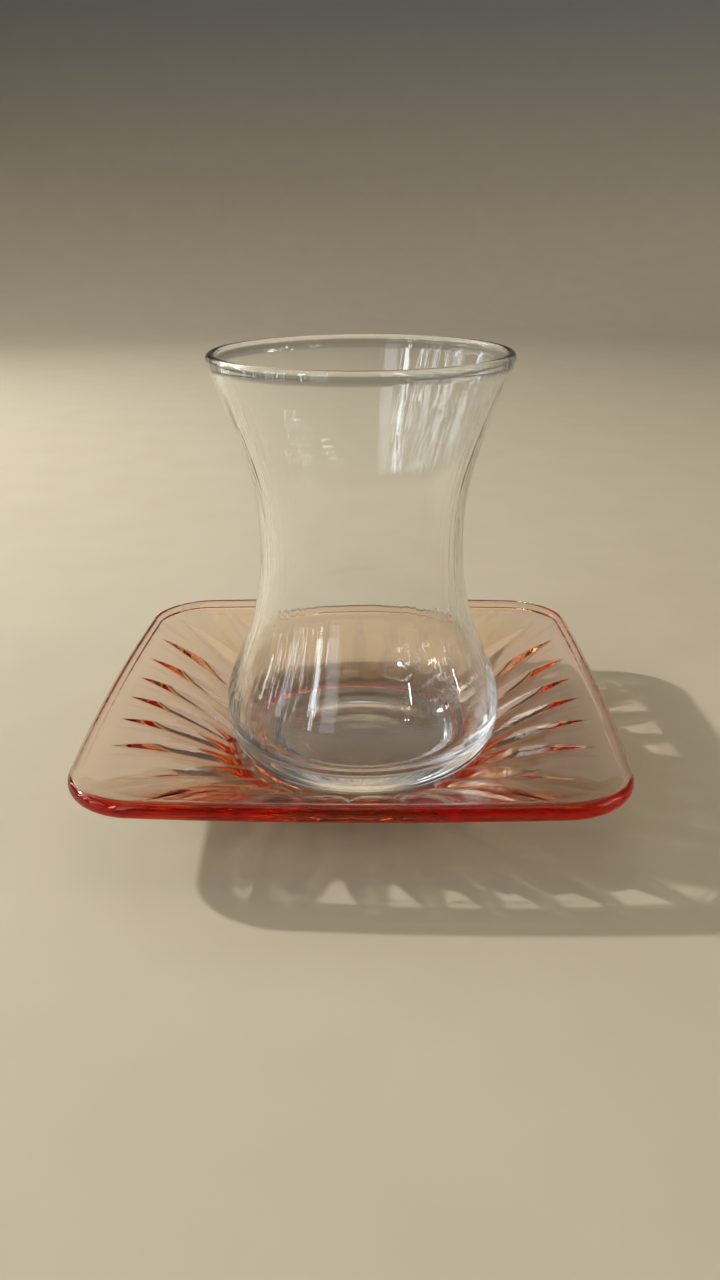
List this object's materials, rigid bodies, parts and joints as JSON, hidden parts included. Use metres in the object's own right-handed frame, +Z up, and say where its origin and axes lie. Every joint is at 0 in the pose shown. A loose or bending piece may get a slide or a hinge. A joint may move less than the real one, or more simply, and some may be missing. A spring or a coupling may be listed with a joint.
{
  "type": "turkish tea glass with saucer",
  "caption": "Clear tulip-shaped tea glass with a narrow waist and a wide lip, standing on a shallow square pink glass saucer with rounded corners and radial flutes.",
  "frame": {"origin": "middle of the saucer on the surface that its foot ring stands on", "axes": "+Z up, X and Y along the saucer's sides, -Y towards the side seen in front in the picture"},
  "size_m": [0.11, 0.11, 0.0916],
  "materials": {
    "pink_pressed_glass": "transparent salmon pink pressed glass, fire-polished, deep red-orange where it is seen edge-on",
    "clear_blown_glass": "clear colourless glass with faint flow lines, blue-green in the thick base, glossy"
  },
  "bodies": {
    "root": {"saucer": "pink_pressed_glass", "tea_glass": "clear_blown_glass"}
  },
  "joints": []
}
